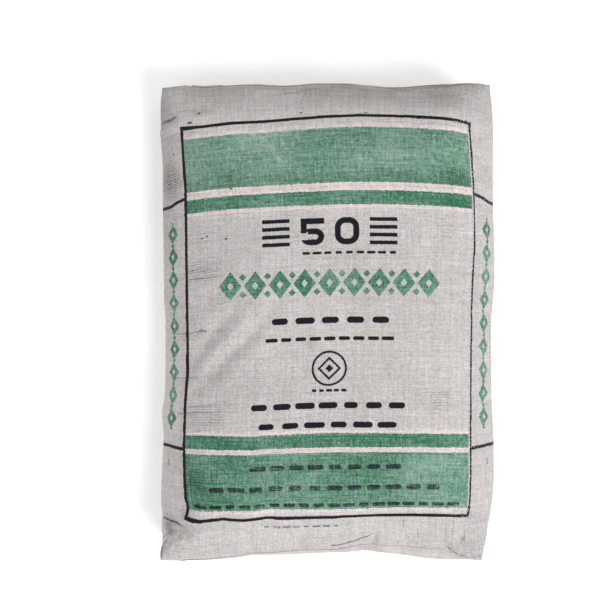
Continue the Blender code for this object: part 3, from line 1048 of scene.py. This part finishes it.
# dark specks: image place, half size mm
SPECKS = ((189.6, 122.8, 1.5), (199.0, 113.4, 1.1), (202, 238.5, 0.9), (207, 236.5, 0.9), (226, 239, 1.0), (301, 112.8, 1.0),
          (173.4, 154.2, 1.1), (231.0, 188.8, 1.1), (365.8, 112.6, 0.9), (418.5, 118.2, 1.3),
          (373.2, 541.4, 1.6))


LIGHT = 1.24     # what the studio light makes of a white surface facing up


def shown(r, g_, b):
    """The reflectance that comes out as this colour under the studio light."""
    return tuple(c / LIGHT for c in srgb(r, g_, b))


FABRIC = shown(206, 202, 200)
FABRIC_PINK = shown(236, 219, 220)
DUST = shown(152, 147, 143)
GREEN_LIGHT = shown(135, 174, 155)
GREEN_DARK = shown(38, 111, 80)
NAVY = shown(9, 7, 27)
SIDE_AT = 206.0


def plain_material(name, colour, scale=1.0, rough=0.66):
    m, shader = material(name)
    s, t, _ = print_coordinates()
    h, over, gap = weave(s, t)
    fine = noise(s * 0.8, t * 0.8, 2.0, detail=3.0, rough=0.7)
    grit = noise(s * 0.40, t * 0.43, 19.0, detail=2.0, rough=0.6)
    mottle = noise(s * 0.16, t * 0.20, 14.0, detail=3.0, rough=0.7)
    broad = noise(s * 0.02, t * 0.02, 12.0, detail=4.0, rough=0.6)
    lengthwise = noise(s * 0.44, t * 0.030, 25.0, detail=2.0, rough=0.6)
    crosswise = noise(s * 0.030, t * 0.44, 26.0, detail=2.0, rough=0.6)
    tape = chance(whole(s / TAPE), 3.0)
    tape_b = chance(whole(t / TAPE), 8.0)
    shade = 1.0 + (fine - 0.5) * 0.26 + (grit - 0.5) * 0.5 + (mottle - 0.5) * 0.42 + (broad - 0.5) * 0.24
    shade = shade + (lengthwise - 0.5) * 0.30 + (crosswise - 0.5) * 0.34 + (tape - 0.5) * 0.07 + (tape_b - 0.5) * 0.08
    shade = shade + over * 0.03 - gap * 0.10
    base = blend_colour(rise(0.50, 0.66, broad + (mottle - 0.5) * 0.6) * 0.45, colour, DUST)
    TREE.links.new(times_colour(shade, base), shader.inputs["Base Color"])
    crinkle = noise(s * 0.08, t * 0.12, 6.0, detail=4.0, rough=0.6)
    bump(shader, h * 0.22 * scale + fine * 0.12 + grit * 0.2 + crinkle * 0.9, 0.001)
    plug(shader.inputs["Roughness"], line_map(fine, 0.3, 0.8, rough - 0.06, rough + 0.12))
    shader.inputs["Specular IOR Level"].default_value = 0.3
    return m


def cement_material():
    m, shader = material("cement")
    x, y, z = position()
    grain = noise(x * 900.0, y * 900.0, z * 900.0, detail=4.0, rough=0.7)
    lump = noise(x * 40.0, y * 40.0, z * 40.0, detail=3.0)
    c = blend_colour(rise(0.3, 0.7, lump), srgb(118, 117, 112), srgb(150, 148, 142))
    TREE.links.new(times_colour(0.85 + grain * 0.3, c), shader.inputs["Base Color"])
    bump(shader, grain * 0.5 + lump, 0.0008)
    plug(shader.inputs["Roughness"], line_map(grain, 0.0, 1.0, 0.9, 1.0))
    return m


mat_sack = sack_material()
mat_patch = plain_material("woven_patch", shown(206, 201, 198))
mat_dusty = plain_material("woven_patch_dusty", shown(184, 180, 176))
mat_sleeve = plain_material("woven_sleeve", shown(190, 186, 182), scale=0.7, rough=0.56)
mat_cement = cement_material()

# =============================================================================================
# Pieces
# =============================================================================================
rim = np.zeros(g.N, bool)
for end in (0, -1):
    rim[I[:, end, 0]] = rim[I[:, end, -1]] = True
    rim[I[0, end, :]] = rim[I[-1, end, :]] = True
sack = add_mesh("sack_fabric", X, g.quads, mat_sack, corner, rim)
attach(sack, "root")
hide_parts("woven_sack")

# The powder: every second line of the grid, 6 mm inside the fabric.
N_ = normals(g, X)
half_grid = Grid(*(c // 2 for c in g.n), WIDTH, LENGTH, DEPTH)
pick = I[tuple((half_grid.ijk * 2).T)]
core = X[pick].copy()
core_n = N_[pick]
for c in range(3):
    for _ in range(3):
        core[:, c] += 0.5 * (neighbour_mean(half_grid, core[:, c]) - core[:, c])
core -= core_n * 0.0062
core[:, 2] = np.maximum(core[:, 2], 0.0012)
powder = add_mesh("cement_core", core, half_grid.quads, mat_cement)
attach(powder, "root")
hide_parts("cement_fill")


def thicken(points, quads, prints, depth, outward):
    """A closed sheet of this depth over a surface, moved along outward."""
    n = len(points)
    pts = np.concatenate([points, points + outward * depth])
    q = [tuple(f) for f in quads]
    edges = {}
    for f in q:
        for a_, b in zip(f, f[1:] + f[:1]):
            edges[(a_, b)] = edges.get((b, a_), 0) is None or (b, a_) not in edges
            if (b, a_) in edges:
                del edges[(b, a_)], edges[(a_, b)]
    faces = [tuple(v_ + n for v_ in f) for f in q] + [tuple(reversed(f)) for f in q]
    corners = [prints[list(f)] for f in q] + [prints[list(reversed(f))] for f in q]
    for a_, b in edges:
        faces.append((a_, b, b + n, a_ + n))
        corners.append(prints[[a_, b, b, a_]])
    return pts, faces, np.array(corners)


def end_surface(end, xs, zs, lift):
    """Points on an end wall at x in xs (metres) and share zs of its height, lifted off it."""
    sign = 1.0 if end else -1.0
    P = X[I[:, end, :]]
    col_x = P[:, nz // 2, 0]
    out = np.zeros((len(xs), len(zs), 3))
    for m_, x in enumerate(xs):
        f = np.interp(x, col_x, np.arange(nx + 1))
        i0 = min(int(f), nx - 1)
        line = P[i0] * (1 - f + i0) + P[i0 + 1] * (f - i0)
        for c in range(3):
            out[m_, :, c] = np.interp(zs * nz, np.arange(nz + 1), line[:, c])
        out[m_, :, 1] += sign * lift(x, zs)
    return out


def grid_quads(a_, b, flip):
    idx = np.arange(a_ * b).reshape(a_, b)
    q = np.stack([idx[:-1, :-1], idx[1:, :-1], idx[1:, 1:], idx[:-1, 1:]], -1).reshape(-1, 4)
    return q[:, ::-1] if flip else q


def strip(name, end, x_from, x_to, z_from, z_to, lift, mat, depth=0.0005, step=0.0022, ragged=0.0):
    xs = np.linspace(x_from, x_to, int((x_to - x_from) / step) + 2)
    zs = np.linspace(z_from, z_to, 34)
    P = end_surface(end, xs, zs, lift)
    if ragged:
        rng = np.random.default_rng(11)
        P[0, :, 0] += rng.normal(0, ragged, len(zs))
        P[-1, :, 0] += rng.normal(0, ragged, len(zs))
        P[:, -1, 2] += rng.normal(0, ragged * 0.6, len(xs))
        P[:, 0, 2] += rng.normal(0, ragged * 0.6, len(xs))
    prints = np.zeros((len(xs), len(zs), 3))
    prints[..., 0] = P[..., 0] * 1000 + (3000 if end else -3000)
    prints[..., 1] = P[..., 2] * 1000
    sign = 1.0 if end else -1.0
    pts, faces, corners = thicken(P.reshape(-1, 3), grid_quads(len(xs), len(zs), bool(end)).tolist(),
                                  prints.reshape(-1, 3), depth, np.array([0, sign, 0]))
    ob = add_mesh(name, pts, faces, mat, corners)
    ob.data.set_sharp_from_angle(angle=math.radians(50))
    return ob


SLEEVE_X = (-0.2035, -0.1365)
LIP_X = -0.1850


def lip(x):
    return 0.0046 * math.exp(-((x - LIP_X) / 0.0055) ** 2)


def over_sleeve(x, zs):
    return 0.0004 + 0.0016 * (1 - ramp(SLEEVE_X[1] - 0.002, SLEEVE_X[1] + 0.004, np.array(x))) * (1 - ramp(0.785, 0.838, zs))


top_cover = strip("top_cover", -1, -0.1745, 0.1905, 0.12, 0.84, over_sleeve, mat_dusty, ragged=0.0003)
bottom_cover = strip("bottom_cover", 0, -0.1890, 0.1680, 0.12, 0.90, lambda x, zs: 0.0004 + np.zeros_like(zs), mat_patch, ragged=0.0003)


def sleeve_piece():
    """A flattened tube of fabric, closed at its inner end, its mouth standing open a little."""
    xs = np.linspace(*SLEEVE_X, 32)
    zs = np.linspace(0.02, 0.79, 32)
    inner = end_surface(-1, xs, zs, lambda x, z_: 0.0003 + np.zeros_like(z_))
    belly = np.sin(np.pi * np.linspace(0, 1, len(zs))) ** 0.6
    outer = end_surface(-1, xs, zs, lambda x, z_: 0.0009 + (lip(x) + 0.0012 * max(0.0, (LIP_X - x) / 0.02)) * belly)
    A, B = len(xs), len(zs)
    # round the tube: inner sheet up, outer sheet down, sharing the two long edges
    ringed = np.concatenate([inner, outer[:, ::-1][:, 1:-1]], 1)
    R = ringed.shape[1]
    prints = np.zeros((A, R, 3))
    prints[..., 0] = ringed[..., 0] * 1000 + 5000
    prints[..., 1] = np.arange(R)[None, :] * 2.2
    idx = np.arange(A * R).reshape(A, R)
    nxt = np.roll(idx, -1, axis=1)
    quads = np.stack([idx[:-1], nxt[:-1], nxt[1:], idx[1:]], -1).reshape(-1, 4)
    P = ringed.reshape(-1, 3)
    me_n = np.zeros_like(P)
    for f in quads:
        nrm = np.cross(P[f[2]] - P[f[0]], P[f[3]] - P[f[1]])
        me_n[f] += nrm
    me_n /= np.linalg.norm(me_n, axis=1, keepdims=True) + 1e-12
    pts, faces, corners = thicken(P, quads.tolist(), prints.reshape(-1, 3), -0.00025, me_n)
    return add_mesh("valve_tube", pts, faces, mat_sleeve, corners)


sleeve = sleeve_piece()
for ob, node, slot_name in ((top_cover, "top_cover_patch", "patch_fabric"), (bottom_cover, "bottom_cover_patch", "patch_fabric"),
                            (sleeve, "valve_sleeve", "sleeve_fabric")):
    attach(ob, "root")
    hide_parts(node)

# =============================================================================================
# Stage
# =============================================================================================
def floor_material():
    m, shader = material("floor")
    x, y, z = position()
    n = noise(x * 3.0, y * 3.0, 0.0, detail=3.0)
    TREE.links.new(times_colour(0.985 + n * 0.03, (0.97, 0.97, 0.97)), shader.inputs["Base Color"])
    shader.inputs["Roughness"].default_value = 0.9
    shader.inputs["Specular IOR Level"].default_value = 0.1
    shader.inputs["Emission Color"].default_value = (1, 1, 1, 1)
    shader.inputs["Emission Strength"].default_value = 0.16
    return m


fl = bpy.data.meshes.new("floor")
fl.from_pydata([(-30, -30, -0.0004), (30, -30, -0.0004), (30, 30, -0.0004), (-30, 30, -0.0004)], [], [(0, 1, 2, 3)])
fl.materials.append(floor_material())
floor = bpy.data.objects.new("floor", fl)
bpy.context.scene.collection.objects.link(floor)

from mathutils import Vector


def soft_light(name, place, at, width, power, colour=(1, 1, 1)):
    l = bpy.data.lights.new(name, "AREA")
    l.shape = "DISK"
    l.size = width
    l.energy = power
    l.color = colour
    o = bpy.data.objects.new(name, l)
    o.location = place
    o.rotation_euler = (Vector(at) - Vector(place)).to_track_quat("-Z", "Y").to_euler()
    bpy.context.scene.collection.objects.link(o)


soft_light("key", (3.6, -3.6, 5.6), (0, 0, 0.1), 3.6, 346)
world = bpy.data.worlds.new("studio")
bpy.context.scene.world = world
world.use_nodes = True
world.node_tree.nodes["Background"].inputs[0].default_value = (1, 1, 1, 1)
world.node_tree.nodes["Background"].inputs[1].default_value = 0.80

cam = bpy.data.cameras.new("camera")
cam.sensor_width = 36
cam.lens = SCALE / 600 * 36
cam.shift_x = -(FOOT_X - 300) / 600
cam.shift_y = (FOOT_Y - 300) / 600
cam.clip_start, cam.clip_end = 0.05, 50
camera = bpy.data.objects.new("camera", cam)
camera.location = (0, CAM_Y, CAM_H)
camera.rotation_euler = (0, 0, 0)
bpy.context.scene.collection.objects.link(camera)
bpy.context.scene.camera = camera
bpy.context.scene.view_settings.view_transform = "Standard"
bpy.context.scene.view_settings.look = "None"
